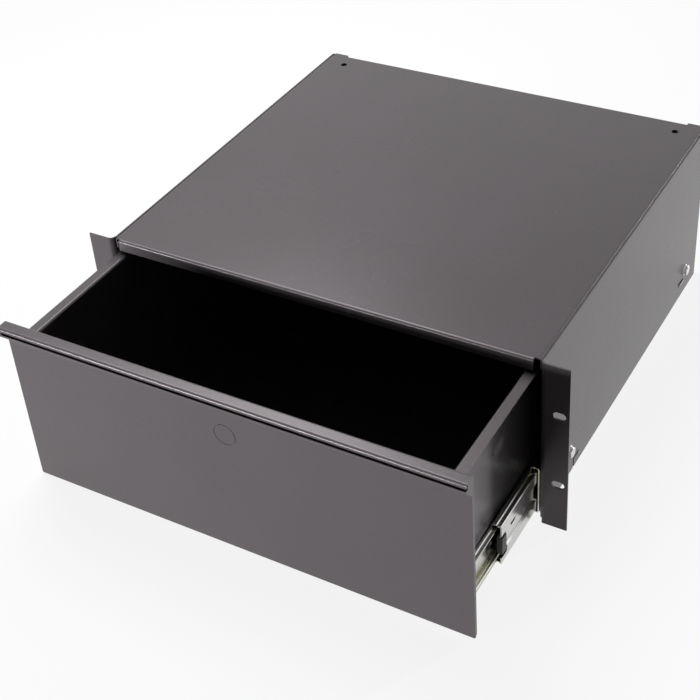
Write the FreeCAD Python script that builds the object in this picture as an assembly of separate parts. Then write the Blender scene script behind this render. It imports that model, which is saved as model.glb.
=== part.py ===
"""Rack-mount sliding drawer for a 19 inch rack, four rack units high.

Millimetres. The origin is the centre of the four rack slots, on the front face of
the two rack ears. +X is the drawer's right-hand side as seen from the front, +Y
goes back into the rack and +Z is up. Every piece is shaped where it lies with the
drawer shut, and the pieces that travel are then moved to where they lie with the
drawer part open, which is the rest pose.
"""

import FreeCAD
import Part

import math
import os

V = FreeCAD.Vector

# ---------------------------------------------------------------- rack standard
PANEL_WIDTH = 482.6  # across both ears
PANEL_HEIGHT = 177.0  # four rack units, less the usual working clearance
SLOT_INSET = 8.75  # from the ear's outer edge to the middle of its slots
SLOT_SPACING_Z = 76.2
SLOT_LENGTH = 11.5
SLOT_HEIGHT = 7.5

# ------------------------------------------------------------------------ sheet
CASE_SHEET = 1.5
TRAY_SHEET = 1.2
FRONT_SHEET = 1.5
BEND_INSIDE = 1.2  # inside radius of a press-brake bend
FIT = 0.1  # gap between sheets that lie on each other
RUNNING_GAP = 0.4  # gap between things that pass each other

# ------------------------------------------------------------------------- case
EAR_REACH = 25.4  # from the side wall's outer face to the ear's outer edge
CASE_WIDTH = PANEL_WIDTH - 2 * EAR_REACH
CASE_DEPTH = 411.0  # from the ears' front face to the rear face
EAR_BEND_INSIDE = 4.25  # the ears turn out of the side walls in a wide bend
EAR_FOOT_NOTCH_WIDTH = 2.1  # relief at the ear's inner bottom corner
EAR_FOOT_NOTCH_HEIGHT = 9.5
EAR_FOOT_NOTCH_RADIUS = 2.5
REAR_FLANGE = 19.5  # the side panels' inward flange at the rear
PAN_FLANGE = 11.0  # depth of the top pan's turned-down edges
CORNER_GAP = 1.0  # open corner between two turned-down edges
PAN_FRONT_SETBACK = 1.0  # the top's front edge lies this far behind the ears' face
PAN_FRONT_END_GAP = 3.2  # front flange stops this far short of the side flanges
PAN_HOLE_RADIUS = 3.4
PAN_HOLE_FROM_REAR = 21.0
PAN_HOLE_FROM_SIDE = 26.0
BACK_CLEARANCE = 2.0  # the back panel stops short of the base and the side walls

# ----------------------------------------------------------------- bottom braces
BRACE_WIDTH = 32.0
BRACE_LIP = 6.0
FRONT_BRACE_FROM_FACE = 24.0  # from the ears' face to the front brace's front edge
REAR_BRACE_FROM_REAR = 81.0  # from the rear face to the rear brace's front edge
BRACE_PLACES = (FRONT_BRACE_FROM_FACE, CASE_DEPTH - REAR_BRACE_FROM_REAR)

# ----------------------------------------------------------------------- slides
SLIDE_THICK = 12.7
SLIDE_HEIGHT = 52.0
SLIDE_CENTRE = 33.0  # above the base
SLIDE_LENGTH = 400.0
SLIDE_FROM_FACE = 3.0  # the fixed member's front end, behind the ears' face
SLIDE_SHEET = 1.2
SLIDE_BEND = 0.75  # centre-line radius of a member's corner, as a share of its sheet
INNER_RIB_SHEET = 0.84  # metal left outside the inner member's race
INNER_RIB_START = 0.3  # where the races' ribs begin inside the member's back
RACE_SLACK = 0.15
OUTER_BALL_RADIUS = 1.75
INNER_BALL_RADIUS = 1.6
OUTER_BALL_U = 7.2  # out from the drawer side
INNER_BALL_U = 3.9
INNER_RACE_WRAP = 1.0  # how far the inner member reaches round its balls
LIP_SHORT = 0.2  # a rolled lip stops this far short of its balls' middles
RACE_GAP = 2.8  # between the fixed flange and the middle flange
MIDDLE_WEB_GAP = 0.9  # between the fixed web and the middle web
MIDDLE_BAND = 12.0  # height of the middle member's raised edge bands
MIDDLE_RECESS = 1.6  # how far its web lies inside them
RECESS_BEND = 1.2  # centre-line radius of the step between band and web
CAGE_WEB_GAP = 0.3  # between the inner cage and that web
CAGE_SHEET = 0.5
CAGE_LENGTH = 150.0
CAGE_POCKETS = 6  # along each row
MIDDLE_LENGTH = 392.0
INNER_LENGTH = 392.0
REAR_BUFFER_THICK = 7.0
MIDDLE_FROM_FACE = 0.8
INNER_FROM_FACE = 3.0
OUTER_CAGE_FROM_FACE = 120.0
INNER_CAGE_FROM_FACE = 125.0
SLIDE_FIXING_INSETS = (66.0, 373.0)  # stud places behind the ears' face
BOLT_DROP = 5.0  # the bolts sit this far below the slide's centre line
BOLT_RADIUS = 2.4
BOLT_SLACK = 0.03
BOLT_HOLE_SLACK = 0.3
BOLT_ACROSS_FLATS = 9.6
BOLT_HEAD_THICK = 4.0
BOLT_CHAMFER = 0.6
BOLT_FLANGE_RADIUS = 6.0
BOLT_FLANGE_THICK = 0.9
KEY_AT = 87.0  # the front key's middle, behind the ears' face
KEY_HEIGHT = 10.4  # above the base
KEY_LENGTH = 3.0
KEY_WAY_IN = 75.5  # front edge of the open leg of the key's slot
KEY_SLOT_WIDTH = 2.2
HOOK_AT = 363.5
HOOK_HEIGHT = 17.5
HOOK_LENGTH = 12.0
HOOK_SLOT_SLACK = 1.2
HOOK_REACH = 1.2  # past the outside of the case wall
INNER_SLOTS = (18.0, 65.0)  # slot middles, behind the ears' face
INNER_SLOT_LENGTH = 11.4
INNER_SLOT_HEIGHT = 4.4
MIDDLE_SLOT_AT = 26.0  # behind the middle member's front end
MIDDLE_SLOT_RISE = 5.4
MIDDLE_SLOT_LENGTH = 10.0
MIDDLE_SLOT_HEIGHT = 4.0
BUMPER_NOTCH = 11.0  # how far the notch runs back into the middle member's web
NOTCH_LOW = -15.0  # the notch's edges, from the slide's centre line
NOTCH_HIGH = 9.0
BUMPER_GAP = 0.15
BUMPER_INSET = 1.5  # the buffer is lower than its notch by this on each side
BUMPER_LENGTH = 18.5
BUMPER_THICK = 2.2
BUMPER_FRONT_SETBACK = 1.5
BUMPER_ROUND = 3.0
LEVER_LENGTH = 46.0
LEVER_SHOWS = 15.0  # its finger stands this far clear when the drawer is right out
LEVER_THICK = 2.0
LEVER_WIDTH = 5.0
LEVER_FINGER_LENGTH = 12.0
LEVER_FINGER_DROP = 3.6
LEVER_HUB_RADIUS = 4.6
LEVER_PIN_RADIUS = 1.8
LEVER_PIN_HEAD_RADIUS = 3.06
LEVER_PIN_HEAD_THICK = 0.84

# ----------------------------------------------------------------- drawer front
FRONT_WIDTH = 446.0
FRONT_FOOT = 1.0  # lower edge above the base
LIP_REACH = 10.0  # out from the panel's face
LIP_DROP = 18.5  # from the top down to where the face starts to flare out
LIP_FACE_DROP = 8.5  # from the top down to where the flare ends
LIP_GROOVE = 2.8  # open groove under the pull cap's nose
NOSE_RADIUS = 1.9  # centre-line radius of the inner front's rolled nose
NOSE_DEPTH = 3.8  # from the top down to the nose's edge
PANEL_CORNER = 1.5  # rounded lower corners
INNER_FRONT_INSET = 1.5  # the inner front stops this far inside the panel's edges
KNOCKOUT_RADIUS = 10.6
KNOCKOUT_DROP = 44.5  # below the top
KNOCKOUT_GROOVE = 0.5
KNOCKOUT_GROOVE_DEPTH = 0.7
KNOCKOUT_TIE = 2.2  # width of the metal left across the groove
KNOCKOUT_TIE_ANGLE = -42.0

# ------------------------------------------------------------------------- tray
TRAY_DROP = 14.0  # the tray's rim lies this far below the top
TRAY_FOOT = 9.0
TRAY_LENGTH = 392.0
TRAY_FLANGE = 9.8  # turned-out top edge of each side
TRAY_HEM = 3.4  # folded-in top edge of front and back walls
TRAY_END_FLANGE = 12.0  # the end walls' foot, on the floor
TRAY_HOLE_RADIUS = 1.5
TRAY_HOLES = ((77.5, 52.0), (90.5, 64.5))  # behind the face, below the top

# ------------------------------------------------------------- travel and rest
OPEN_AT_REST = 139.0
FULL_TRAVEL = 380.0
MIDDLE_SHARE = 0.5
OUTER_CAGE_SHARE = 0.25
INNER_CAGE_SHARE = 0.75

# -------------------------------------------------------------- worked-out places
BASE = -PANEL_HEIGHT / 2
TOP = PANEL_HEIGHT / 2
SLOT_X = PANEL_WIDTH / 2 - SLOT_INSET
CASE_X = CASE_WIDTH / 2
CASE_INNER_X = CASE_X - CASE_SHEET
TRAY_X = CASE_INNER_X - SLIDE_THICK
TRAY_INNER_X = TRAY_X - TRAY_SHEET
BEND_MID_CASE = BEND_INSIDE + CASE_SHEET / 2
BEND_MID_EAR = EAR_BEND_INSIDE + CASE_SHEET / 2
BEND_MID_TRAY = BEND_INSIDE + TRAY_SHEET / 2
BEND_MID_FRONT = BEND_INSIDE + FRONT_SHEET / 2
CLEAR_THROUGH = 4.0  # how far a cutter stands past the sheet that it cuts
BRACE_END = SLIDE_CENTRE - SLIDE_HEIGHT / 2 - RUNNING_GAP  # tabs end under the slide

SLIDE_Z = BASE + SLIDE_CENTRE
BOLT_Z = SLIDE_Z - BOLT_DROP
TRAY_RIM = TOP - TRAY_DROP
MIDDLE_FRONT_SHUT_GAIN = FULL_TRAVEL * (1 - MIDDLE_SHARE)
LEVER_PIVOT_Y = MIDDLE_FROM_FACE + MIDDLE_FRONT_SHUT_GAIN + LEVER_LENGTH - LEVER_SHOWS
OUTER_HALF = SLIDE_HEIGHT / 2
OUTER_RACE_R = OUTER_BALL_RADIUS + RACE_SLACK
INNER_RACE_R = INNER_BALL_RADIUS + RACE_SLACK
OUTER_BALL_V = OUTER_HALF - SLIDE_SHEET - OUTER_RACE_R
MIDDLE_HALF = OUTER_HALF - SLIDE_SHEET - RACE_GAP
INNER_BALL_V = MIDDLE_HALF - SLIDE_SHEET - INNER_RACE_R
INNER_HALF = INNER_BALL_V - INNER_RACE_R + INNER_RACE_WRAP
OUTER_WEB_U = SLIDE_THICK - SLIDE_SHEET / 2
MIDDLE_BAND_U = SLIDE_THICK - SLIDE_SHEET - MIDDLE_WEB_GAP - SLIDE_SHEET / 2
MIDDLE_WEB_U = MIDDLE_BAND_U - MIDDLE_RECESS


# ------------------------------------------------------------------ small helpers
def block(x0, x1, y0, y1, z0, z1):
    """A box between two values on each axis."""
    return Part.makeBox(x1 - x0, y1 - y0, z1 - z0, V(x0, y0, z0))


def rod(radius, start, direction, length):
    return Part.makeCylinder(radius, length, start, direction)


def fuse(first, *others):
    return first.multiFuse(list(others)).removeSplitter() if others else first


def cut(first, *cutters):
    return first.cut(list(cutters))


def mirrored(shape):
    """The other hand of a shape: its mirror in the plane X = 0."""
    return shape.mirror(V(0, 0, 0), V(1, 0, 0))


def solids_of(*shapes):
    """One compound of separate solids, for a node that holds several pieces."""
    return Part.makeCompound([s for shape in shapes for s in shape.Solids])


def offset_side(points, radii, distance):
    """Edges of a polyline with rounded corners, shifted sideways by distance.

    A positive distance is to the left of the way along the points. Each rounded
    corner keeps its centre, so a parallel side gets a larger or smaller radius.
    """
    count = len(points)
    ways = []
    for a, b in zip(points, points[1:]):
        way = (b - a).normalize()
        ways.append(way)
    marks = [points[0] + left_of(ways[0]) * distance]
    edges = []
    for i in range(1, count - 1):
        turn = ways[i - 1].x * ways[i].y - ways[i - 1].y * ways[i].x
        angle = math.atan2(turn, ways[i - 1].dot(ways[i]))
        hand = 1.0 if turn > 0 else -1.0
        back = radii[i - 1] * abs(math.tan(angle / 2))
        start = points[i] - ways[i - 1] * back
        end = points[i] + ways[i] * back
        centre = start + left_of(ways[i - 1]) * (hand * radii[i - 1])
        away = (points[i] - centre).normalize()
        reach = radii[i - 1] - hand * distance
        first = start + left_of(ways[i - 1]) * distance
        last = end + left_of(ways[i]) * distance
        if (first - marks[-1]).Length > 1e-6:
            edges.append(Part.makeLine(marks[-1], first))
        edges.append(Part.Arc(first, centre + away * reach, last).toShape())
        marks.append(last)
    final = points[-1] + left_of(ways[-1]) * distance
    if (final - marks[-1]).Length > 1e-6:
        edges.append(Part.makeLine(marks[-1], final))
    return edges


def left_of(way):
    return V(-way.y, way.x, 0)


def sheet_strip(path, thick, radii, along, start, end):
    """A bent sheet: a centre line with rounded bends, given thickness and length.

    path is a list of (a, b) pairs. Along "x" they are Y and Z, along "y" they are
    X and Z, and along "z" they are X and Y. radii has one centre-line radius for
    each inner point of the path, or one number for all of them.
    """
    points = [V(a, b, 0) for a, b in path]
    if not isinstance(radii, (list, tuple)):
        radii = [radii] * (len(points) - 2)
    left = offset_side(points, radii, thick / 2)
    right = offset_side(points, radii, -thick / 2)
    ends = [
        Part.makeLine(left[-1].Vertexes[-1].Point, right[-1].Vertexes[-1].Point),
        Part.makeLine(right[0].Vertexes[0].Point, left[0].Vertexes[0].Point),
    ]
    wire = Part.Wire(Part.__sortEdges__(left + right + ends))
    return sweep_flat(wire, along, start, end)


def sweep_flat(wire, along, start, end):
    """Stands a flat outline upright and gives it its length along one axis."""
    face = Part.Face(wire)
    if along == "z":
        face.translate(V(0, 0, start))
        return face.extrude(V(0, 0, end - start))
    if along == "y":
        face.rotate(V(0, 0, 0), V(1, 0, 0), 90)
        face.translate(V(0, start, 0))
        return face.extrude(V(0, end - start, 0))
    face.rotate(V(0, 0, 0), V(1, 1, 1), 120)
    face.translate(V(start, 0, 0))
    return face.extrude(V(end - start, 0, 0))


def slot_cutter(x, z, length, height, y0, y1):
    """A round-ended slot that runs along X and is cut through in Y."""
    half = length / 2 - height / 2
    return fuse(
        block(x - half, x + half, y0, y1, z - height / 2, z + height / 2),
        rod(height / 2, V(x - half, y0, z), V(0, 1, 0), y1 - y0),
        rod(height / 2, V(x + half, y0, z), V(0, 1, 0), y1 - y0),
    )


def rounded_plate_edges(shape, test, radius):
    """Rounds the edges that the test picks out by their middle point."""
    edges = [e for e in shape.Edges if test(e)]
    return shape.makeFillet(radius, edges) if edges else shape


# --------------------------------------------------------------------- the case
def side_panel():
    """The right side: wall, rack ear turned out at the front, rear flange turned in."""
    wall_line = CASE_X - CASE_SHEET / 2
    rear_line = CASE_DEPTH - CASE_SHEET / 2
    path = [
        (PANEL_WIDTH / 2, CASE_SHEET / 2),
        (wall_line, CASE_SHEET / 2),
        (wall_line, rear_line),
        (CASE_X - REAR_FLANGE, rear_line),
    ]
    radii = [BEND_MID_EAR, BEND_MID_CASE]
    wall = sheet_strip(path, CASE_SHEET, radii, "z", BASE, TOP)
    return cut(wall, *ear_cutters(), *wall_cutters(), *top_edge_cutters())


def ear_cutters():
    """Rack slots, and the relief at the ear's inner bottom corner."""
    y0, y1 = -CLEAR_THROUGH, CASE_SHEET + CLEAR_THROUGH
    slots = [
        slot_cutter(SLOT_X, z, SLOT_LENGTH, SLOT_HEIGHT, y0, y1)
        for z in (-SLOT_SPACING_Z / 2, SLOT_SPACING_Z / 2)
    ]
    inner = CASE_X - CASE_SHEET - CLEAR_THROUGH
    bend_end = CASE_SHEET + EAR_BEND_INSIDE + RUNNING_GAP
    foot_outer = CASE_X + EAR_FOOT_NOTCH_WIDTH
    foot_top = BASE + EAR_FOOT_NOTCH_HEIGHT
    foot = block(inner, foot_outer, y0, bend_end, BASE - 1, foot_top)
    foot = rounded_plate_edges(
        foot,
        lambda e: abs(e.CenterOfMass.x - foot_outer) < 0.01
        and abs(e.CenterOfMass.z - foot_top) < 0.01,
        EAR_FOOT_NOTCH_RADIUS,
    )
    return slots + [foot]


def wall_cutters():
    """Holes for the slide's bolts, and slots for its key and its hook."""
    x0, x1 = CASE_X - CASE_SHEET - CLEAR_THROUGH, CASE_X + CLEAR_THROUGH
    holes = [
        rod(BOLT_RADIUS + BOLT_HOLE_SLACK, V(x0, y, BOLT_Z), V(1, 0, 0), x1 - x0)
        for y in SLIDE_FIXING_INSETS
    ]
    key_top = BASE + KEY_HEIGHT + KEY_SLOT_WIDTH / 2
    key_end = KEY_AT + KEY_LENGTH / 2 + RUNNING_GAP
    key_leg = block(x0, x1, KEY_WAY_IN, key_end, key_top - KEY_SLOT_WIDTH, key_top)
    way_in = block(x0, x1, KEY_WAY_IN, KEY_WAY_IN + KEY_SLOT_WIDTH, BASE - 1, key_top)
    half = HOOK_LENGTH / 2 + HOOK_SLOT_SLACK
    rise = SLIDE_SHEET / 2 + HOOK_SLOT_SLACK
    middle = BASE + HOOK_HEIGHT
    hook_slot = block(
        x0, x1, HOOK_AT - half, HOOK_AT + half, middle - rise, middle + rise
    )
    return holes + [fuse(key_leg, way_in), hook_slot]


def top_edge_cutters():
    """Lowers the wall beside the top's bend, and the rear flange under its corners."""
    beyond = CASE_DEPTH + 1
    behind_ear = CASE_SHEET + EAR_BEND_INSIDE
    bend_start = CASE_INNER_X - FIT - CASE_SHEET - BEND_INSIDE
    wall_edge = block(
        bend_start, CASE_X + 1, behind_ear, beyond, TOP - CASE_SHEET / 2, TOP + 1
    )
    flange_edge = block(
        CASE_X - REAR_FLANGE - 1,
        bend_start + FIT,
        CASE_DEPTH - CASE_SHEET - CLEAR_THROUGH,
        beyond,
        TOP - CASE_SHEET - FIT,
        TOP + 1,
    )
    return [wall_edge, flange_edge]


def top_pan():
    """The lid of the case: a flat top with turned-down front, side and rear edges."""
    side_line = CASE_INNER_X - FIT - CASE_SHEET / 2
    line = TOP - CASE_SHEET / 2
    foot = TOP - PAN_FLANGE
    front = PAN_FRONT_SETBACK
    rear = CASE_DEPTH - CASE_SHEET
    bend = CASE_SHEET + BEND_INSIDE + CORNER_GAP
    path = [(-side_line, foot), (-side_line, line), (side_line, line), (side_line, foot)]
    pan = sheet_strip(path, CASE_SHEET, BEND_MID_CASE, "y", front + bend, rear - bend)
    flat_half = side_line - BEND_MID_CASE
    edges = []
    for end, way, half in (
        (front, 1, flat_half - PAN_FRONT_END_GAP),
        (rear, -1, CASE_X - REAR_FLANGE - FIT),
    ):
        upright = end + way * CASE_SHEET / 2
        path = [(end + way * bend, line), (upright, line), (upright, foot)]
        edges.append(sheet_strip(path, CASE_SHEET, BEND_MID_CASE, "x", -half, half))
    corners = []
    for side in (-1, 1):
        x0, x1 = sorted((side * (CASE_X - REAR_FLANGE - FIT), side * flat_half))
        corners.append(block(x0, x1, rear - bend, CASE_DEPTH, TOP - CASE_SHEET, TOP))
    holes = [
        rod(
            PAN_HOLE_RADIUS,
            V(side * (CASE_X - PAN_HOLE_FROM_SIDE), CASE_DEPTH - PAN_HOLE_FROM_REAR, foot),
            V(0, 0, 1),
            PAN_FLANGE + CLEAR_THROUGH,
        )
        for side in (-1, 1)
    ]
    return cut(fuse(pan, *edges, *corners), *holes)


def back_panel():
    """A flat plate against the inside of the rear flanges, under the top's flange."""
    y1 = CASE_DEPTH - CASE_SHEET
    x = CASE_INNER_X - BACK_CLEARANCE
    z1 = TOP - PAN_FLANGE - FIT
    return block(-x, x, y1 - CASE_SHEET, y1, BASE + BACK_CLEARANCE, z1)


def brace(front):
    """A pressed strap across the open base, with upright ends on the side walls."""
    line = BASE + CASE_SHEET / 2
    end_line = CASE_INNER_X - FIT - CASE_SHEET / 2
    path = [
        (-end_line, BASE + BRACE_END),
        (-end_line, line),
        (end_line, line),
        (end_line, BASE + BRACE_END),
    ]
    rear = front + BRACE_WIDTH
    strap = sheet_strip(path, CASE_SHEET, BEND_MID_CASE, "y", front, rear)
    clear = end_line - CASE_SHEET / 2 - BEND_INSIDE - RUNNING_GAP
    lips = [
        block(-clear, clear, y, y + CASE_SHEET, BASE, BASE + BRACE_LIP)
        for y in (front, rear - CASE_SHEET)
    ]
    return fuse(strap, *lips)


# -------------------------------------------------------------------- the slides
def slide_x(u):
    """X of a place u out from the tray's side, on the right-hand slide."""
    return TRAY_X + u


def fixed_member():
    """The slide member on the case: a channel whose rolled edges hold the balls."""
    race_mid = OUTER_RACE_R + SLIDE_SHEET / 2
    lip_x = slide_x(OUTER_BALL_U - race_mid)
    web_x = slide_x(OUTER_WEB_U)
    top = SLIDE_Z + OUTER_HALF - SLIDE_SHEET / 2
    foot = SLIDE_Z - OUTER_HALF + SLIDE_SHEET / 2
    lip_end = OUTER_BALL_V - LIP_SHORT
    path = [
        (lip_x, SLIDE_Z + lip_end),
        (lip_x, top),
        (web_x, top),
        (web_x, foot),
        (lip_x, foot),
        (lip_x, SLIDE_Z - lip_end),
    ]
    corner = BEND_INSIDE + SLIDE_SHEET / 2
    y0 = SLIDE_FROM_FACE
    y1 = SLIDE_FROM_FACE + SLIDE_LENGTH
    radii = [race_mid, corner, corner, race_mid]
    channel = sheet_strip(path, SLIDE_SHEET, radii, "y", y0, y1)
    tabs = ((KEY_AT, KEY_HEIGHT, KEY_LENGTH), (HOOK_AT, HOOK_HEIGHT, HOOK_LENGTH))
    channel = cut(channel, *[lanced_window(*tab) for tab in tabs])
    channel = fuse(channel, *[lanced_tab(*tab) for tab in tabs])
    bolts = [bolt_shank(y, BOLT_SLACK) for y in SLIDE_FIXING_INSETS]
    return cut(channel, *bolts)


def lanced_tab(y, height, length):
    """A tab bent out of the fixed member's web, through its slot in the case wall."""
    x0, x1 = slide_x(SLIDE_THICK - SLIDE_SHEET), CASE_X + HOOK_REACH
    z0 = BASE + height - SLIDE_SHEET / 2
    return block(x0, x1, y - length / 2, y + length / 2, z0, z0 + SLIDE_SHEET)


def lanced_window(y, height, length):
    """The hole that the tab leaves in the web, above it."""
    x0, x1 = slide_x(SLIDE_THICK - SLIDE_SHEET - 1), slide_x(SLIDE_THICK + 1)
    z0 = BASE + height + SLIDE_SHEET / 2
    z1 = z0 + CASE_SHEET + HOOK_REACH
    return block(x0, x1, y - length / 2, y + length / 2, z0, z1)


def bolt_shank(y, slack=0.0):
    """A slide bolt's shank, or with slack the hole that it is screwed into."""
    x0 = slide_x(SLIDE_THICK - SLIDE_SHEET)
    x0 += FIT if slack == 0 else -CLEAR_THROUGH
    return rod(BOLT_RADIUS + slack, V(x0, y, BOLT_Z), V(1, 0, 0), CASE_X - x0)


def raced_channel(path, radii, ball_u, ball_v, race_r, y0, y1, clip):
    """A bent channel with a ball groove pressed into the outside of both flanges.

    The groove is the sheet dished round the ball row: a round rib inside the
    flange carries it, and the race is cut from the outside.
    """
    channel = sheet_strip(path, SLIDE_SHEET, radii, "y", y0, y1)
    ribs, races = [], []
    for s in (-1, 1):
        start = V(slide_x(ball_u), y0, SLIDE_Z + s * ball_v)
        rib = rod(race_r + SLIDE_SHEET, start, V(0, 1, 0), y1 - y0)
        ribs.append(rib.common(clip(s, y0, y1)))
        start = V(slide_x(ball_u), y0 - 1, SLIDE_Z + s * ball_v)
        races.append(rod(race_r, start, V(0, 1, 0), y1 - y0 + 2))
    return cut(fuse(channel, *ribs), *races)


def middle_member():
    """The floating member: grooved outside for the outer balls, lipped for the inner.

    Its web is recessed between two raised bands, one along each edge.
    """
    race_mid = INNER_RACE_R + SLIDE_SHEET / 2
    lip_x = slide_x(INNER_BALL_U - race_mid)
    band_x, web_x = slide_x(MIDDLE_BAND_U), slide_x(MIDDLE_WEB_U)
    line = MIDDLE_HALF - SLIDE_SHEET / 2
    lip_end = INNER_BALL_V - LIP_SHORT / 2
    band_end = MIDDLE_HALF - MIDDLE_BAND
    upper = [
        (lip_x, lip_end),
        (lip_x, line),
        (band_x, line),
        (band_x, band_end),
        (web_x, band_end - MIDDLE_RECESS),
    ]
    path = [(x, SLIDE_Z + v) for x, v in upper]
    path += [(x, SLIDE_Z - v) for x, v in reversed(upper)]
    corner = SLIDE_SHEET * SLIDE_BEND
    y0 = MIDDLE_FROM_FACE
    y1 = MIDDLE_FROM_FACE + MIDDLE_LENGTH

    def clip(s, a, b):
        z0, z1 = sorted((SLIDE_Z, SLIDE_Z + s * MIDDLE_HALF))
        return block(slide_x(0), slide_x(MIDDLE_BAND_U), a, b, z0, z1)

    edge_radii = [race_mid, corner, RECESS_BEND, RECESS_BEND]
    radii = edge_radii + edge_radii[::-1]
    member = raced_channel(
        path, radii, OUTER_BALL_U, OUTER_BALL_V, OUTER_RACE_R, y0, y1, clip
    )
    return cut(member, *middle_web_cutters(y0))


def middle_web_cutters(y0):
    """The notch and the slot in the middle member's web, near its front end."""
    x0, x1 = slide_x(MIDDLE_WEB_U - 2), slide_x(MIDDLE_BAND_U + 2)
    low, high = SLIDE_Z + NOTCH_LOW, SLIDE_Z + NOTCH_HIGH
    notch = block(x0, x1, y0 - 1, y0 + BUMPER_NOTCH, low, high)
    notch = rounded_plate_edges(
        notch,
        lambda e: abs(e.CenterOfMass.y - y0 - BUMPER_NOTCH) < 0.01 and runs_along_x(e),
        BUMPER_ROUND,
    )
    slot = web_slot(
        y0 + MIDDLE_SLOT_AT, MIDDLE_SLOT_RISE, MIDDLE_SLOT_LENGTH, MIDDLE_SLOT_HEIGHT
    )
    slot.translate(V(MIDDLE_WEB_U - SLIDE_SHEET / 2, 0, 0))
    return [notch, slot]


def runs_along_x(edge):
    return abs(edge.tangentAt(edge.FirstParameter).x) > 0.9


def web_slot(y, rise, length, height):
    """A round-ended slot cut through a member's web, near the tray's side."""
    x0, reach = slide_x(-1), SLIDE_SHEET + 2
    half = length / 2 - height / 2
    z = SLIDE_Z + rise
    middle = block(x0, x0 + reach, y - half, y + half, z - height / 2, z + height / 2)
    ends = [rod(height / 2, V(x0, y + e, z), V(1, 0, 0), reach) for e in (-half, half)]
    return fuse(middle, *ends)


def middle_bumper():
    """The moulded buffer clipped into the notch at the middle member's front end."""
    y0 = MIDDLE_FROM_FACE + BUMPER_FRONT_SETBACK
    web_inside = slide_x(MIDDLE_WEB_U - SLIDE_SHEET / 2 - BUMPER_GAP)
    low, high = SLIDE_Z + NOTCH_LOW, SLIDE_Z + NOTCH_HIGH
    body = block(
        web_inside - BUMPER_THICK,
        web_inside,
        y0,
        y0 + BUMPER_LENGTH,
        low + BUMPER_INSET,
        high - BUMPER_INSET,
    )
    body = rounded_plate_edges(body, runs_along_x, BUMPER_ROUND)
    plug = block(
        web_inside - BUMPER_THICK / 2,
        slide_x(MIDDLE_BAND_U + SLIDE_SHEET / 2),
        y0,
        MIDDLE_FROM_FACE + BUMPER_NOTCH - BUMPER_ROUND / 2,
        low + BUMPER_ROUND,
        high - BUMPER_ROUND,
    )
    return fuse(body, plug)


def inner_member():
    """The slide member on the tray's side, with the groove for the inner balls."""
    web_x = slide_x(SLIDE_SHEET / 2)
    line = INNER_HALF - SLIDE_SHEET / 2
    end_x = slide_x(INNER_BALL_U + INNER_RACE_R + INNER_RIB_SHEET)
    path = [
        (end_x, SLIDE_Z + line),
        (web_x, SLIDE_Z + line),
        (web_x, SLIDE_Z - line),
        (end_x, SLIDE_Z - line),
    ]
    corner = SLIDE_SHEET * SLIDE_BEND
    y0 = INNER_FROM_FACE
    y1 = INNER_FROM_FACE + INNER_LENGTH

    def clip(s, a, b):
        z0, z1 = sorted((SLIDE_Z, SLIDE_Z + s * INNER_HALF))
        return block(slide_x(INNER_RIB_START), end_x, a, b, z0, z1)

    member = raced_channel(
        path, [corner, corner], INNER_BALL_U, INNER_BALL_V, INNER_RACE_R, y0, y1, clip
    )
    slots = [web_slot(y, 0, INNER_SLOT_LENGTH, INNER_SLOT_HEIGHT) for y in INNER_SLOTS]
    return cut(member, *slots)


def cage(web_u, arm_v, arm_end_u, ball_u, ball_radius, y0):
    """A ball retainer: a thin channel with open pockets, one for each ball."""
    web_x, end_x = slide_x(web_u), slide_x(arm_end_u)
    path = [
        (end_x, SLIDE_Z + arm_v),
        (web_x, SLIDE_Z + arm_v),
        (web_x, SLIDE_Z - arm_v),
        (end_x, SLIDE_Z - arm_v),
    ]
    strip = sheet_strip(path, CAGE_SHEET, CAGE_SHEET, "y", y0, y0 + CAGE_LENGTH)
    pockets = []
    for y in pocket_places(y0):
        for s in (-1, 1):
            half = ball_radius + FIT
            z0, z1 = sorted((SLIDE_Z + s * (arm_v - 1), SLIDE_Z + s * (arm_v + 1)))
            pockets.append(
                block(slide_x(ball_u - half), slide_x(ball_u + half), y - half, y + half, z0, z1)
            )
    return cut(strip, *pockets)


def pocket_places(y0):
    """Middles of the ball pockets along a cage, half a pitch in from its ends."""
    pitch = CAGE_LENGTH / CAGE_POCKETS
    return [y0 + pitch * (i + 0.5) for i in range(CAGE_POCKETS)]


def outer_cage():
    web_u = MIDDLE_BAND_U + SLIDE_SHEET / 2 + MIDDLE_WEB_GAP / 2
    return cage(
        web_u,
        OUTER_BALL_V,
        OUTER_BALL_U - OUTER_RACE_R + RUNNING_GAP,
        OUTER_BALL_U,
        OUTER_BALL_RADIUS,
        OUTER_CAGE_FROM_FACE,
    )


def inner_cage():
    web_u = MIDDLE_WEB_U - SLIDE_SHEET / 2 - CAGE_WEB_GAP - CAGE_SHEET / 2
    arm_v = INNER_BALL_V - LIP_SHORT
    return cage(
        web_u,
        arm_v,
        INNER_BALL_U - INNER_RACE_R + RUNNING_GAP,
        INNER_BALL_U,
        INNER_BALL_RADIUS,
        INNER_CAGE_FROM_FACE,
    )


def slide_bolts():
    """Flanged hexagon-head bolts through the case wall into the fixed member."""
    corner = BOLT_ACROSS_FLATS / math.sqrt(3)
    out = V(1, 0, 0)
    bolts = []
    for y in SLIDE_FIXING_INSETS:
        seat = V(CASE_X, y, BOLT_Z)
        turns = [math.radians(60 * i + 30) for i in range(7)]
        ring = [seat + V(0, math.cos(a), math.sin(a)) * corner for a in turns]
        head = Part.Face(Part.makePolygon(ring)).extrude(out * BOLT_HEAD_THICK)
        crown = Part.makeCone(
            corner + BOLT_HEAD_THICK, corner - BOLT_CHAMFER, BOLT_HEAD_THICK, seat, out
        )
        flange = rod(BOLT_FLANGE_RADIUS, seat, out, BOLT_FLANGE_THICK)
        bolts.append(fuse(head.common(crown), flange, bolt_shank(y)))
    return solids_of(*bolts)


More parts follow.
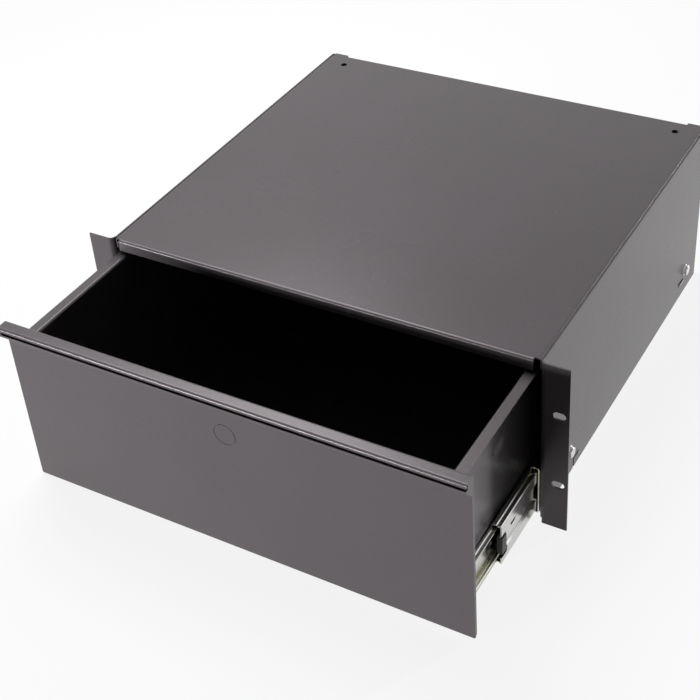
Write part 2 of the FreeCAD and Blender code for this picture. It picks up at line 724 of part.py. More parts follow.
def release_lever():
    """The sprung tongue on the inner member that lets the drawer lift out."""
    x0 = slide_x(SLIDE_SHEET + RUNNING_GAP)
    x1 = x0 + LEVER_THICK
    y0 = LEVER_PIVOT_Y
    tip = y0 - LEVER_LENGTH
    low, high = SLIDE_Z - LEVER_WIDTH / 2, SLIDE_Z + LEVER_WIDTH / 2
    hub = rod(LEVER_HUB_RADIUS, V(x0, y0, SLIDE_Z), V(1, 0, 0), LEVER_THICK)
    arm = block(x0, x1, tip + LEVER_FINGER_LENGTH / 2, y0, low, high)
    finger = block(
        x0,
        x1 + LEVER_THICK / 2,
        tip,
        tip + LEVER_FINGER_LENGTH,
        low - LEVER_FINGER_DROP,
        high,
    )
    hole = rod(LEVER_PIN_RADIUS + FIT / 2, V(x0 - 1, y0, SLIDE_Z), V(1, 0, 0), 6)
    return cut(fuse(hub, arm, finger), hole)


def lever_pin():
    """The headed rivet that the release lever turns on."""
    start = V(slide_x(SLIDE_SHEET), LEVER_PIVOT_Y, SLIDE_Z)
    shank_length = LEVER_THICK + 2 * RUNNING_GAP
    shank = rod(LEVER_PIN_RADIUS, start, V(1, 0, 0), shank_length)
    head_start = start + V(shank_length, 0, 0)
    head = rod(LEVER_PIN_HEAD_RADIUS, head_start, V(1, 0, 0), LEVER_PIN_HEAD_THICK)
    return fuse(shank, head)


def rear_buffer():
    """The moulded stop in the rear end of the fixed member."""
    y0 = INNER_FROM_FACE + INNER_LENGTH + RUNNING_GAP
    x0 = slide_x(INNER_BALL_U)
    x1 = slide_x(SLIDE_THICK - SLIDE_SHEET)
    half = OUTER_BALL_V - LIP_SHORT - RUNNING_GAP
    body = block(x0, x1, y0, y0 + REAR_BUFFER_THICK, SLIDE_Z - half, SLIDE_Z + half)
    return rounded_plate_edges(body, runs_along_x, BUMPER_ROUND / 2)


# --------------------------------------------------------------------- the drawer
def front_panel():
    """The drawer's face: flat plate, flared at the top into the pull's upright face."""
    t = FRONT_SHEET
    face_line = -t / 2 - t
    reach_line = face_line - LIP_REACH
    path = [
        (face_line, BASE + FRONT_FOOT),
        (face_line, TOP - LIP_DROP),
        (reach_line, TOP - LIP_FACE_DROP),
        (reach_line, TOP - NOSE_DEPTH - LIP_GROOVE),
    ]
    half = FRONT_WIDTH / 2
    plate = sheet_strip(path, t, BEND_MID_FRONT, "x", -half, half)
    plate = round_lower_corners(plate, half, BASE + FRONT_FOOT)
    ends = [pull_end(side) for side in (-1, 1)]
    return cut(fuse(plate, *ends), knockout_groove(face_line - t / 2))


def round_lower_corners(plate, half, foot):
    """Rounds the two lower corners of an upright plate that faces front."""
    return rounded_plate_edges(
        plate,
        lambda e: abs(abs(e.CenterOfMass.x) - half) < 0.01
        and abs(e.CenterOfMass.z - foot) < 0.01
        and abs(e.tangentAt(e.FirstParameter).y) > 0.9,
        PANEL_CORNER,
    )


def pull_end(side):
    """The closed end of the hollow pull, one sheet thick."""
    t = FRONT_SHEET
    y_back = -t
    y_front = -t - LIP_REACH - t / 2
    top = TOP - NOSE_DEPTH - LIP_GROOVE
    under_cap = TOP - t - FIT
    nose_back = -t - LIP_REACH + NOSE_RADIUS
    bend = BEND_INSIDE + FIT
    corners = [
        (y_back, TOP - LIP_DROP),
        (y_front, TOP - LIP_FACE_DROP),
        (y_front, top),
        (nose_back, top),
        (nose_back, under_cap),
        (y_back - bend, under_cap),
        (y_back, under_cap - bend),
    ]
    x0, x1 = sorted((side * FRONT_WIDTH / 2, side * (FRONT_WIDTH / 2 - t)))
    outline = [V(x0, y, z) for y, z in corners + corners[:1]]
    return Part.Face(Part.makePolygon(outline)).extrude(V(x1 - x0, 0, 0))


def knockout_groove(face):
    """The part-cut ring of the lock knockout, in the panel's face, with one tie."""
    centre = V(0, face, TOP - KNOCKOUT_DROP)
    start = centre - V(0, CLEAR_THROUGH, 0)
    depth = CLEAR_THROUGH + KNOCKOUT_GROOVE_DEPTH
    outer = rod(KNOCKOUT_RADIUS, start, V(0, 1, 0), depth)
    inner = rod(KNOCKOUT_RADIUS - KNOCKOUT_GROOVE, start, V(0, 1, 0), depth)
    half = KNOCKOUT_TIE / 2
    reach = KNOCKOUT_RADIUS + 1
    tie = block(0, reach, start.y, face + reach, centre.z - half, centre.z + half)
    tie.rotate(centre, V(0, 1, 0), -KNOCKOUT_TIE_ANGLE)
    return cut(outer, inner, tie)


def inner_front():
    """The sheet behind the panel: it folds forward over the pull, with a rolled nose."""
    t = FRONT_SHEET
    foot = BASE + FRONT_FOOT + INNER_FRONT_INSET
    nose_line = -t - LIP_REACH - t / 2
    path = [
        (-t / 2, foot),
        (-t / 2, TOP - t / 2),
        (nose_line, TOP - t / 2),
        (nose_line, TOP - NOSE_DEPTH),
    ]
    half = FRONT_WIDTH / 2
    sheet = sheet_strip(path, t, [BEND_MID_FRONT, NOSE_RADIUS], "x", -half, half)
    return round_lower_corners(sheet, half, foot)


def tray_trough():
    """The tray's floor and sides in one bent sheet, with turned-out top edges."""
    t = TRAY_SHEET
    x = TRAY_X - t / 2
    floor = BASE + TRAY_FOOT + t / 2
    rim = TRAY_RIM - t / 2
    path = [
        (-x - TRAY_FLANGE, rim),
        (-x, rim),
        (-x, floor),
        (x, floor),
        (x, rim),
        (x + TRAY_FLANGE, rim),
    ]
    trough = sheet_strip(path, t, BEND_MID_TRAY, "y", t, TRAY_LENGTH - t)
    holes = [
        rod(TRAY_HOLE_RADIUS, V(side * (TRAY_X + 3), y, TOP - drop), V(-side, 0, 0), 8)
        for side in (-1, 1)
        for y, drop in TRAY_HOLES
    ]
    return cut(trough, *holes)


def tray_end(line, way):
    """A tray end wall at a place along Y, with its hem and foot turned one way."""
    t = TRAY_SHEET
    half = TRAY_INNER_X - FIT
    rim = TRAY_RIM - t / 2
    foot = BASE + TRAY_FOOT + t + FIT + t / 2
    path = [
        (line + way * TRAY_HEM, rim),
        (line, rim),
        (line, foot),
        (line + way * TRAY_END_FLANGE, foot),
    ]
    wall = sheet_strip(path, t, BEND_MID_TRAY, "x", -half, half)
    nick = BEND_INSIDE + FIT
    reach = TRAY_END_FLANGE + t
    nicks = []
    for side in (-1, 1):
        x0, x1 = sorted((side * (half - nick), side * (half + 1)))
        nicks.append(block(x0, x1, line - reach, line + reach, foot - t, foot + nick))
    return cut(wall, *nicks)


# ---------------------------------------------------------------------- assembly
def at_rest(shape, share=1.0):
    """Moves a travelling piece from its shut place to its place at rest."""
    moved = shape.copy()
    moved.translate(V(0, -OPEN_AT_REST * share, 0))
    return moved


def both_hands(parts, name, shape):
    """Adds a right-hand piece and its mirror image as two nodes."""
    parts[name + "_right"] = shape
    parts[name + "_left"] = mirrored(shape)


def both_sides(parts, name, shape):
    """Adds one piece twice: on the left it is the same piece, turned over."""
    parts[name + "_right"] = shape
    turned = shape.copy()
    turned.rotate(V(0, 0, SLIDE_Z), V(0, 1, 0), 180)
    parts[name + "_left"] = turned


def all_parts():
    first, second = BRACE_PLACES
    t = TRAY_SHEET
    parts = {
        "top_pan": top_pan(),
        "back_panel": back_panel(),
        "front_brace": brace(first),
        "rear_brace": brace(second),
        "front_panel": at_rest(front_panel()),
        "inner_front": at_rest(inner_front()),
        "tray_trough": at_rest(tray_trough()),
        "tray_front_wall": at_rest(tray_end(t / 2, 1)),
        "tray_back_wall": at_rest(tray_end(TRAY_LENGTH - t / 2, -1)),
    }
    both_hands(parts, "side_panel", side_panel())
    both_hands(parts, "slide_fixed_member", fixed_member())
    both_hands(parts, "slide_rear_buffer", rear_buffer())
    both_hands(parts, "slide_bolts", slide_bolts())
    both_sides(parts, "slide_outer_cage", at_rest(outer_cage(), OUTER_CAGE_SHARE))
    both_sides(parts, "slide_middle_member", at_rest(middle_member(), MIDDLE_SHARE))
    both_sides(parts, "slide_front_buffer", at_rest(middle_bumper(), MIDDLE_SHARE))
    both_sides(parts, "slide_inner_cage", at_rest(inner_cage(), INNER_CAGE_SHARE))
    both_sides(parts, "slide_inner_member", at_rest(inner_member()))
    both_sides(parts, "release_lever", at_rest(release_lever()))
    both_sides(parts, "lever_pin", at_rest(lever_pin()))
    return parts


def main():
    os.makedirs("parts", exist_ok=True)
    for name, shape in sorted(all_parts().items()):
        for solid in shape.Solids:
            if not solid.isValid() or solid.Volume <= 0:
                raise ValueError(f"{name} has a solid that isn't valid")
        shape.exportStep(f"parts/{name}.step")
        print(f"{name}: {len(shape.Solids)} solids, {shape.Volume:.0f} mm3")


main()
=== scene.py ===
"""Looks for the sliding rack drawer: finishes, the slides' balls, the screws, rivets
and plugs, the studio and the camera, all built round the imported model.

Metres. The frame is the model's own: the origin is the centre of the four rack
slots, +X is the drawer's right-hand side seen from the front, +Y goes back into the
rack and +Z is up.
"""

import math

import bpy
import numpy as np
from mathutils import Matrix, Vector


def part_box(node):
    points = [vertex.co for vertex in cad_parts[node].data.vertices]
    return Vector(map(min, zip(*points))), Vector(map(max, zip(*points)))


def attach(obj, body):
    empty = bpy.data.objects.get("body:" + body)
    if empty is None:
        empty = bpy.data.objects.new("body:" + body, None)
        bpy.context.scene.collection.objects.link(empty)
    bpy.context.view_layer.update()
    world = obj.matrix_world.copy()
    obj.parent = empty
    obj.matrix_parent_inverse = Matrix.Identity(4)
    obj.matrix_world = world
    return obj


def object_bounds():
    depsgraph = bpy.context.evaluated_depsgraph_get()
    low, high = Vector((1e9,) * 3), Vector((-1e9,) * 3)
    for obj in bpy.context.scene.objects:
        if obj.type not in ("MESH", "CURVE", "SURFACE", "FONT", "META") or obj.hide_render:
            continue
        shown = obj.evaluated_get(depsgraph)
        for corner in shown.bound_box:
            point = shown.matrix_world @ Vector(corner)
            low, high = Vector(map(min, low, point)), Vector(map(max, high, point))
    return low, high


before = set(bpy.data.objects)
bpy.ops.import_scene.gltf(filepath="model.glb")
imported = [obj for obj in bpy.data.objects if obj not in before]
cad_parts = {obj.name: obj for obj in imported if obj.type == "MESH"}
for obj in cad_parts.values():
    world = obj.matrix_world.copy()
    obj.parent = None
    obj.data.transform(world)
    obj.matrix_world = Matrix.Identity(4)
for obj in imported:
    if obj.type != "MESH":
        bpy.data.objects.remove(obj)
cad_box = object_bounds()

SIDES = {"right": 1, "left": -1}
CLOSE = 0.00001  # a hair's breadth, to keep a piece off the face that it lies on


# ------------------------------------------------------------------ shader maths
class Value:
    """An output in a node tree. Arithmetic on it adds Math nodes."""

    def __init__(self, nodes, output):
        self.nodes, self.output = nodes, output

    def _math(self, operation, *values):
        settings = {"operation": operation}
        return self.nodes.node("ShaderNodeMath", settings, dict(enumerate(values)))

    def __add__(self, other):
        return self._math("ADD", self, other)

    def __sub__(self, other):
        return self._math("SUBTRACT", self, other)

    def __rsub__(self, other):
        return self._math("SUBTRACT", other, self)

    def __mul__(self, other):
        return self._math("MULTIPLY", self, other)

    def __or__(self, other):
        """The larger of two values: where either mask is on."""
        return self._math("MAXIMUM", self, other)

    __radd__, __rmul__, __ror__ = __add__, __mul__, __or__


class Nodes:
    """A material's or a world's node tree, and the one way to add a node to it."""

    def __init__(self, owner):
        owner.use_nodes = True
        self.tree = owner.node_tree

    def put(self, socket, value):
        """Feeds a socket from another node's output, or sets what it holds."""
        if isinstance(value, Value):
            self.tree.links.new(value.output, socket)
        else:
            socket.default_value = value

    def node(self, kind, settings=None, inputs=None, output=0):
        """Adds a node: its settings first, then what its sockets hold or are fed."""
        made = self.tree.nodes.new(kind)
        for name, setting in (settings or {}).items():
            setattr(made, name, setting)
        for name, value in (inputs or {}).items():
            self.put(made.inputs[name], value)
        return Value(self, made.outputs[output])

    def seen_directly(self):
        """1 where the eye sees the surface straight, in a reflection or through glass."""
        straight, mirrored, through = (
            self.node("ShaderNodeLightPath", output=ray)
            for ray in ("Is Camera Ray", "Is Glossy Ray", "Is Transmission Ray")
        )
        return straight | mirrored | through


class Finish(Nodes):
    """A procedural material on the surface shader, with its patterns and its relief."""

    def __init__(self, name):
        self.material = bpy.data.materials.new(name)
        super().__init__(self.material)
        self.shader = self.tree.nodes["Principled BSDF"]
        self.place = self.node("ShaderNodeTexCoord", output="Object")

    def stretched(self, scale):
        """Object coordinates scaled by a different amount on each axis."""
        return self.node("ShaderNodeMapping", None, {"Vector": self.place, "Scale": scale})

    def noise(self, scale, detail=2.0, place=None, roughness=0.5):
        """Soft random cloud, about 1 / scale metres across, from 0 to 1."""
        inputs = {"Vector": place or self.place, "Scale": scale}
        inputs |= {"Detail": detail, "Roughness": roughness}
        return self.node("ShaderNodeTexNoise", None, inputs)

    def cells(self, scale):
        """Distance to the nearest of many scattered points."""
        inputs = {"Vector": self.place, "Scale": scale}
        return self.node("ShaderNodeTexVoronoi", None, inputs, "Distance")

    def between(self, value, low, high):
        """0 below low, 1 above high and smooth in between."""
        settings = {"interpolation_type": "SMOOTHSTEP", "clamp": True}
        inputs = {"Value": value, "From Min": low, "From Max": high}
        return self.node("ShaderNodeMapRange", settings, inputs)

    def mix(self, factor, first, second):
        """One colour turning to another as factor goes from 0 to 1."""
        inputs = {0: factor, 6: first, 7: second}  # 6, 7 and 2 are its colour sockets
        return self.node("ShaderNodeMix", {"data_type": "RGBA"}, inputs, 2)

    def bump(self, height, strength, distance, normal=None):
        """A relief, over another one where its normal is given."""
        inputs = {"Height": height, "Strength": strength, "Distance": distance}
        if normal is not None:
            inputs["Normal"] = normal
        return self.node("ShaderNodeBump", None, inputs)

    def wear(self, **inputs):
        """Feeds the surface shader's sockets, named with _ for a space."""
        for name, value in inputs.items():
            self.put(self.shader.inputs[name.replace("_", " ")], value)
        return self.material


def grey(level, warm=0.0, green=0.0):
    """A colour near a neutral grey, as linear red, green, blue and alpha."""
    return (level * (1 + warm), level * (1 + green), level * (1 - warm), 1.0)


# ---------------------------------------------------------------------- finishes
# How many patches of each pattern lie along a metre.
COAT_CLOUDS, COAT_PEEL, COAT_GRAIN = 9.0, 420.0, 1700.0
ZINC_LINES, ZINC_BANDS, ZINC_STAINS = 900.0, 160.0, 26.0
PLATE_PATCHES, PLATE_BLOOM = 900.0, 300.0
BALL_SMEARS = 500.0
MOULD_GRAIN, MOULD_RUBS = 2600.0, 130.0
ROLLED_OUT = (1.0, 0.02, 1.0)  # rolling draws a pattern out along the slide

# Where each pattern starts to show and where it is full, and how much it then covers.
COAT_FLECKED, FLECK_COVER = (0.62, 0.78), 0.35
ZINC_STAINED = (0.4, 0.72)
ZINC_BANDED, BAND_COVER = (0.45, 0.75), 0.35
BALL_SMEARED = (0.45, 0.7)
MOULD_WORN = (0.5, 0.75)

# The strength and the depth of each relief.
COAT_PEEL_RELIEF, COAT_GRAIN_RELIEF = (0.08, 0.0003), (0.05, 0.0001)
ZINC_RELIEF = (0.10, 0.00008)
PLATE_RELIEF = (0.08, 0.0001)
MOULD_RELIEF = (0.25, 0.00008)

POWDER_DARK = (0.064, 0.058, 0.062, 1.0)
POWDER_LIGHT = (0.072, 0.065, 0.071, 1.0)
POWDER_FLECK = (0.129, 0.12, 0.126, 1.0)
POWDER_SHEEN = (1.0, 0.91, 0.95, 1.0)
ZINC_PALE = grey(0.58, 0.01)
ZINC_YELLOW = (0.53, 0.53, 0.41, 1.0)
ZINC_DULL = grey(0.24, 0.01)
FASTENER_DULL = grey(0.52, 0.02, 0.01)
FASTENER_BRIGHT = grey(0.82)
BALL_BRIGHT = grey(0.78)
BALL_GREASED = grey(0.62, 0.03)
MOULD_BLACK = grey(0.010)
MOULD_RUBBED = grey(0.022)


def powder_coat():
    """Charcoal powder coat: cloudy tone, orange peel and a fine matt grain."""
    coat = Finish("charcoal_powder_coat")
    cloud = coat.noise(COAT_CLOUDS, detail=3.0)
    peel = coat.noise(COAT_PEEL)
    grain = coat.noise(COAT_GRAIN, roughness=0.65)
    tone = coat.mix(cloud, POWDER_DARK, POWDER_LIGHT)
    fleck = coat.between(grain, *COAT_FLECKED)
    relief = coat.bump(peel, *COAT_PEEL_RELIEF)
    return coat.wear(
        Base_Color=coat.mix(fleck * FLECK_COVER, tone, POWDER_FLECK),
        Roughness=0.24 + 0.06 * cloud + 0.06 * fleck,
        Specular_IOR_Level=0.40,
        Specular_Tint=POWDER_SHEEN,
        Normal=coat.bump(grain, *COAT_GRAIN_RELIEF, relief),
    )


def rolled_zinc():
    """Bright zinc plate on rolled steel: lengthwise drawing lines, faint yellow."""
    zinc = Finish("rolled_zinc_plate")
    along = zinc.stretched(ROLLED_OUT)
    lines = zinc.noise(ZINC_LINES, detail=3.0, place=along, roughness=0.6)
    bands = zinc.noise(ZINC_BANDS, place=along)
    stain = zinc.noise(ZINC_STAINS, detail=3.0)
    tone = zinc.mix(zinc.between(stain, *ZINC_STAINED), ZINC_PALE, ZINC_YELLOW)
    banded = zinc.between(bands, *ZINC_BANDED)
    return zinc.wear(
        Base_Color=zinc.mix(banded * BAND_COVER, tone, ZINC_DULL),
        Metallic=1.0,
        Roughness=0.16 + 0.10 * bands + 0.06 * stain,
        Normal=zinc.bump(lines, *ZINC_RELIEF),
    )


def fastener_zinc():
    """Plated fastener: small bright and dull patches with a soft sheen."""
    plate = Finish("plated_fastener")
    patch = plate.cells(PLATE_PATCHES)
    bloom = plate.noise(PLATE_BLOOM)
    return plate.wear(
        Base_Color=plate.mix(bloom, FASTENER_DULL, FASTENER_BRIGHT),
        Metallic=1.0,
        Roughness=0.22 + 0.18 * patch + 0.08 * bloom,
        Normal=plate.bump(bloom, *PLATE_RELIEF),
    )


def polished_steel():
    """Hardened ball: near mirror with a thin smear of grease."""
    steel = Finish("polished_steel")
    smear = steel.between(steel.noise(BALL_SMEARS), *BALL_SMEARED)
    return steel.wear(
        Base_Color=steel.mix(smear, BALL_BRIGHT, BALL_GREASED),
        Metallic=1.0,
        Roughness=0.07 + 0.18 * smear,
    )


def moulded_plastic():
    """Black moulding with a spark-eroded grain and paler rubbed patches."""
    plastic = Finish("black_moulding")
    grain = plastic.cells(MOULD_GRAIN)
    rub = plastic.between(plastic.noise(MOULD_RUBS, detail=3.0), *MOULD_WORN)
    return plastic.wear(
        Base_Color=plastic.mix(rub, MOULD_BLACK, MOULD_RUBBED),
        Roughness=0.40 + 0.2 * grain - 0.1 * rub,
        Normal=plastic.bump(grain, *MOULD_RELIEF),
    )


FINISHES = {
    "powder_coat": powder_coat(),
    "zinc_plate": rolled_zinc(),
    "fastener_zinc": fastener_zinc(),
    "moulded_plastic": moulded_plastic(),
}
BALL_STEEL = polished_steel()

# Each solid's slots carry the record's slot names.
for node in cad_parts.values():
    for place, slot in enumerate(node.data.materials):
        node.data.materials[place] = FINISHES[slot.name.split(".")[0]]


# ----------------------------------------------------------------- turned pieces
SHARP_ANGLE = 40.0  # degrees between two faces, above which their edge shows
BALL_RINGS, BALL_AROUND = 12, 20
PAN_RINGS, PAN_AROUND = 16, 64
RIVET_RINGS, RIVET_AROUND = 14, 32


def turned_grid(radii, heights, around, carve=None):
    """A closed surface of revolution about +Z, by ring and angle.

    A point's distance out is its ring's radius, its angle goes evenly round, and
    its height is the ring's height less what carve(distance, angle) cuts away. The
    first and last rings have no radius and become single points.
    """
    angle = np.arange(around) * (2 * math.pi / around)
    out, turn = np.meshgrid(radii[1:-1], angle, indexing="ij")
    high = np.broadcast_to(heights[1:-1, None], out.shape).copy()
    ends = np.array([[0, 0, heights[0]], [0, 0, heights[-1]]])
    if carve is not None:
        high -= carve(out, turn)
        ends[1, 2] -= carve(0.0, 0.0)
    rings = np.stack([out * np.cos(turn), out * np.sin(turn), high], -1)
    points = np.vstack([rings.reshape(-1, 3), ends])

    count = len(radii) - 2
    here = np.arange(around)
    after = (here + 1) % around
    row = np.arange(count - 1)[:, None] * around
    above = row + around
    walls = np.stack([row + here, row + after, above + after, above + here], -1)
    foot, tip = count * around, count * around + 1
    top = (count - 1) * around
    foot_fan = np.stack([np.full(around, foot), after, here], -1)
    tip_fan = np.stack([np.full(around, tip), top + here, top + after], -1)
    return points, walls.reshape(-1, 4), np.vstack([foot_fan, tip_fan])


def turned_pieces(name, grid, places, axis, body, slot, finish=None):
    """Copies of one turned shape at several places, its +Z turned onto axis, X or Y."""
    points, quads, fans = grid
    up = np.asarray(axis, float)
    across = np.array([0.0, 1.0, 0.0] if up[0] else [1.0, 0.0, 0.0])
    basis = np.stack([across, np.cross(up, across), up])
    shifts = np.asarray(places, float)[:, None, :]
    everywhere = (points @ basis)[None] + shifts
    step = (np.arange(len(shifts)) * len(points))[:, None, None]
    faces = (quads + step).reshape(-1, 4).tolist() + (fans + step).reshape(-1, 3).tolist()
    mesh = bpy.data.meshes.new(name)
    mesh.from_pydata(everywhere.reshape(-1, 3), [], faces)
    mesh.validate()
    mesh.shade_smooth()
    mesh.set_sharp_from_angle(angle=math.radians(SHARP_ANGLE))
    mesh.materials.append(finish or FINISHES[slot])
    piece = bpy.data.objects.new(name, mesh)
    bpy.context.scene.collection.objects.link(piece)
    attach(piece, body)


def grid_places(xs, ys, zs):
    """Every combination of the given places on the three axes."""
    return np.stack(np.meshgrid(xs, ys, zs, indexing="ij"), -1).reshape(-1, 3)


def ball(radius):
    """A sphere: distance out and height go round a half circle."""
    way = np.linspace(-math.pi / 2, math.pi / 2, BALL_RINGS)
    return turned_grid(radius * np.cos(way), radius * np.sin(way), BALL_AROUND)


def cross_recess(reach, depth, width):
    """A driver's cross: two tapering slots at right angles, deepest in the middle.

    The depth is full to half a slot's width and falls evenly to none over the next
    third of its width. Along a slot it falls evenly over the outer half of its reach.
    """

    def carve(out, turn):
        across = np.minimum(abs(out * np.cos(turn)), abs(out * np.sin(turn)))
        slot = 1 - np.clip((across - width / 2) / (0.35 * width), 0, 1)
        taper = np.clip((reach - out) / (0.5 * reach), 0, 1)
        return depth * slot * taper

    return carve


def pan_head(radius, thick, recess_depth):
    """A pan-head screw's head: flat foot, short upright edge, low dome, cross.

    Distance out and height go a quarter of an ellipse over the dome.
    """
    foot, ease, edge = 0.96 * radius, 0.08 * thick, 0.45 * thick
    dome = np.linspace(0, math.pi / 2, PAN_RINGS)[1:]
    radii = np.concatenate([[0, foot, radius, radius], radius * np.cos(dome)])
    heights = np.concatenate([[0, 0, ease, edge], edge + (thick - edge) * np.sin(dome)])
    cross = cross_recess(0.62 * radius, recess_depth, 0.24 * radius)
    return turned_grid(radii, heights, PAN_AROUND, cross)


def rivet_head(radius, thick):
    """A blind rivet's head: a low dome with the mandrel's hollow in its middle.

    Distance out and height go a quarter of an ellipse over the dome, and the hollow
    has a flat bottom and an even slope round it.
    """
    foot, edge = 0.97 * radius, 0.18 * thick
    mouth, slope, depth = 0.36 * radius, 0.08 * radius, 0.55 * thick
    dome = np.linspace(0, math.pi / 2, RIVET_RINGS)[1:]
    radii = np.concatenate([[0, foot, radius], radius * np.cos(dome)])
    heights = np.concatenate([[0, 0, edge], edge + (thick - edge) * np.sin(dome)])

    def hollow(out, turn):
        return depth * np.clip((mouth - out) / slope, 0, 1)

    return turned_grid(radii, heights, RIVET_AROUND, hollow)


# -------------------------------------------------------------- the slides' balls
CAGE_POCKETS = 6
POCKET_PITCH = 0.025
BALL_ROWS = {  # radius, out from the drawer's side, up and down from the middle
    "outer": (0.00175, 0.0072, 0.0229),
    "inner": (0.0016, 0.0039, 0.01905),
}
DRAWER_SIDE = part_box("slide_inner_member_right")[0].x


def ball_row_places(cage, side, out, spread):
    """The middles of a cage's pockets: two rows, evenly spaced along the cage."""
    low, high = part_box(cage)
    along = low.y + POCKET_PITCH * (np.arange(CAGE_POCKETS) + 0.5)
    middle = (low.z + high.z) / 2
    y, z = np.meshgrid(along, [middle - spread, middle + spread])
    x = np.full(y.shape, side * (DRAWER_SIDE + out))
    return np.stack([x, y, z], -1).reshape(-1, 3)


def slide_balls():
    """Two rows of balls in each cage, which carry the slide's members."""
    for row, (radius, out, spread) in BALL_ROWS.items():
        for hand, side in SIDES.items():
            turned_pieces(
                f"slide_{row}_balls_{hand}",
                ball(radius),
                ball_row_places(f"slide_{row}_cage_{hand}", side, out, spread),
                (side, 0, 0),
                f"{row}_cage_{hand}",
                "fastener_zinc",
                BALL_STEEL,
            )


slide_balls()


# ---------------------------------------------------------------- small fasteners
CASE_SHEET = 0.0015
TRAY_SHEET = 0.0012
MEMBER_SHEET = 0.0012
TRAY_INSIDE_X = DRAWER_SIDE - TRAY_SHEET + CLOSE

# A head is its radius, its thickness and, for a screw or a plug, its cross's depth.
TRAY_SCREW_HEAD = (0.0038, 0.0019, 0.0009)
TRAY_SCREW_INSETS = (0.147, 0.267, 0.382)  # behind the inner member's front end
FRONT_SCREW_HEAD = (0.0042, 0.0022, 0.0011)
FRONT_SCREW_DROPS = (0.022, 0.130)  # below the tray's rim
FRONT_SCREW_X = (-0.175, 0.0, 0.175)
RIVET_HEAD = (0.0031, 0.0012)
RIVET_X = (-0.165, -0.055, 0.055, 0.165)
RIVET_DROP = 0.0058  # below the top
PLUG_HEAD = (0.00145, 0.0010, 0.0)
PLUG_PLACES = ((-0.0485, 0.024), (-0.0615, 0.0365))  # along Y and Z


def tray_screws():
    """Screws through each slide's inner member into the tray's side."""
    for hand, side in SIDES.items():
        low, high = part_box(f"slide_inner_member_{hand}")
        web = side * (DRAWER_SIDE + MEMBER_SHEET - CLOSE)
        places = grid_places([web], low.y + np.array(TRAY_SCREW_INSETS), [(low.z + high.z) / 2])
        head = pan_head(*TRAY_SCREW_HEAD)
        turned_pieces(f"tray_screws_{hand}", head, places, (side, 0, 0), "drawer", "fastener_zinc")


def back_rivets():
    """Rivets through the top's rear edge."""
    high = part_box("top_pan")[1]
    places = grid_places(RIVET_X, [high.y - CASE_SHEET - CLOSE], [high.z - RIVET_DROP])
    head = rivet_head(*RIVET_HEAD)
    turned_pieces("back_rivets", head, places, (0, 1, 0), "case", "fastener_zinc")


def tray_plugs():
    """Black plugs in the small holes of the tray's sides, pushed in from the inside."""
    for hand, side in SIDES.items():
        places = [(side * TRAY_INSIDE_X, y, z) for y, z in PLUG_PLACES]
        head = pan_head(*PLUG_HEAD)
        turned_pieces(f"tray_plugs_{hand}", head, places, (side, 0, 0), "drawer", "moulded_plastic")


def front_screws():
    """Screws from inside the tray into the inner front."""
    low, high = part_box("tray_front_wall")
    inside = [low.y + TRAY_SHEET - CLOSE]
    places = grid_places(FRONT_SCREW_X, inside, high.z - np.array(FRONT_SCREW_DROPS))
    head = pan_head(*FRONT_SCREW_HEAD)
    turned_pieces("front_screws", head, places, (0, 1, 0), "drawer", "fastener_zinc")


tray_screws()
back_rivets()
tray_plugs()
front_screws()


# ------------------------------------------------------------- studio and camera
WHITE = (1.0, 1.0, 1.0, 1.0)
FLOOR_HALF = 6.0
FLOOR_TONE = 0.15  # as it throws light back on the object
SEEN_FLOOR_TONE = 0.95
FLOOR_LIFT = 0.86  # how much of the floor's seen colour is plain white
AMBIENT = 0.02  # the world's light where it isn't seen
LAMPS = {  # place, the point it faces, size across and up, power
    "top_lamp": ((-0.55, 0.43, 1.27), (0.0, 0.10, 0.0), (0.90, 0.90), 21.5),
    "front_strip": ((-1.18, -2.32, 0.09), (0.0, 0.0, 0.09), (1.20, 0.22), 88.0),
    "side_strip": ((2.42, 3.66, 0.30), (0.0, 0.0, 0.30), (0.32, 0.80), 200.0),
}


def studio_world():
    """White where it is seen, dim where it only fills the shadows."""
    world = bpy.data.worlds.new("studio")
    bpy.context.scene.world = world
    sky = Nodes(world)
    background = sky.tree.nodes["Background"]
    sky.put(background.inputs["Color"], WHITE)
    sky.put(background.inputs["Strength"], AMBIENT + (1 - AMBIENT) * sky.seen_directly())


def floor_finish():
    """Pale and matt. Most of its seen colour is plain white, the rest keeps the shadow."""
    material = bpy.data.materials.new("studio_floor")
    floor = Nodes(material)
    floor.tree.nodes.remove(floor.tree.nodes["Principled BSDF"])
    seen = floor.seen_directly()
    tone = FLOOR_TONE + (SEEN_FLOOR_TONE - FLOOR_TONE) * seen
    matt = floor.node("ShaderNodeBsdfDiffuse", None, {"Color": tone})
    white = floor.node("ShaderNodeEmission", None, {"Color": WHITE})
    layers = {0: FLOOR_LIFT * seen, 1: matt, 2: white}
    surface = floor.node("ShaderNodeMixShader", None, layers)
    floor.put(floor.tree.nodes["Material Output"].inputs["Surface"], surface)
    return material


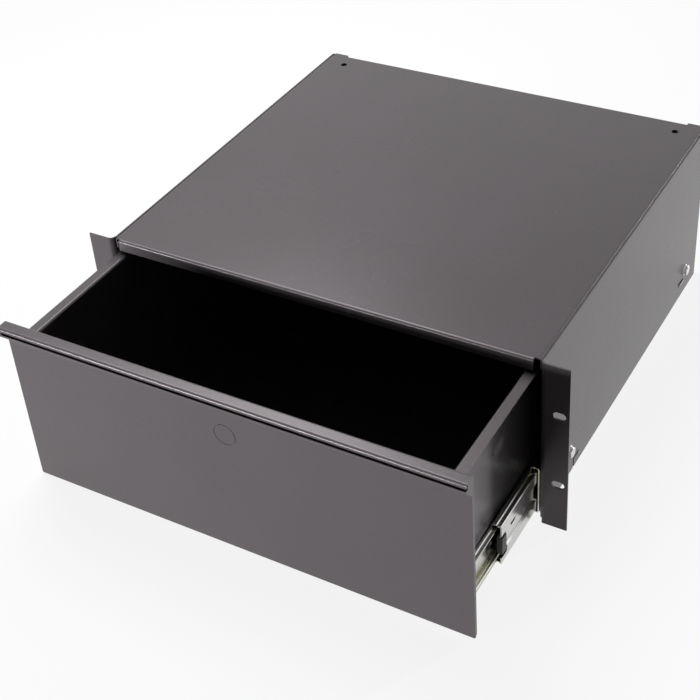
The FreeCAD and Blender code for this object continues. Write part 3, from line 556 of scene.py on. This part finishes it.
def studio_floor():
    """A wide plain square just under the object."""
    base, half = cad_box[0].z - CLOSE, FLOOR_HALF
    corners = [(-half, -half, base), (half, -half, base), (half, half, base), (-half, half, base)]
    mesh = bpy.data.meshes.new("studio_floor")
    mesh.from_pydata(corners, [], [(0, 1, 2, 3)])
    mesh.materials.append(floor_finish())
    floor = bpy.data.objects.new("studio_floor", mesh)
    bpy.context.scene.collection.objects.link(floor)


def studio_lamps():
    """A soft lamp overhead, a low strip in front and a low strip behind on the right."""
    for name, (place, facing, size, power) in LAMPS.items():
        lamp = bpy.data.lights.new(name, "AREA")
        lamp.shape, lamp.energy = "RECTANGLE", power
        lamp.size, lamp.size_y = size
        holder = bpy.data.objects.new(name, lamp)
        holder.location = place
        back = Vector(place) - Vector(facing)
        holder.rotation_euler = back.to_track_quat("Z", "Y").to_euler()
        bpy.context.scene.collection.objects.link(holder)


AZIMUTH, ELEVATION, ROLL = 32.369, 35.398, -4.651  # degrees
ORIGIN_FROM_EYE = (-0.0289, 0.0861, 1.2858)  # right, down and ahead of the eye
LENS, SENSOR = 73.61, 36.0
SHIFT_UP = -0.1


def studio_camera():
    """Stands to the drawer's front right, above it, with a slight roll."""
    az, el, roll = (math.radians(a) for a in (AZIMUTH, ELEVATION, ROLL))
    right = Vector((math.cos(az), math.sin(az), 0))
    ahead = Vector((-math.sin(az) * math.cos(el), math.cos(az) * math.cos(el), -math.sin(el)))
    down = ahead.cross(right)
    right, down = (
        right * math.cos(roll) - down * math.sin(roll),
        right * math.sin(roll) + down * math.cos(roll),
    )
    eye = -sum((a * d for a, d in zip((right, down, ahead), ORIGIN_FROM_EYE)), Vector())
    camera = bpy.data.objects.new("camera", bpy.data.cameras.new("camera"))
    camera.data.lens, camera.data.sensor_width = LENS, SENSOR
    camera.data.shift_y = SHIFT_UP
    turn = Matrix((right, -down, -ahead)).transposed()
    camera.matrix_world = Matrix.Translation(eye) @ turn.to_4x4()
    bpy.context.scene.collection.objects.link(camera)
    bpy.context.scene.camera = camera


studio_world()
studio_floor()
studio_lamps()
studio_camera()
bpy.context.scene.view_settings.view_transform = "Standard"
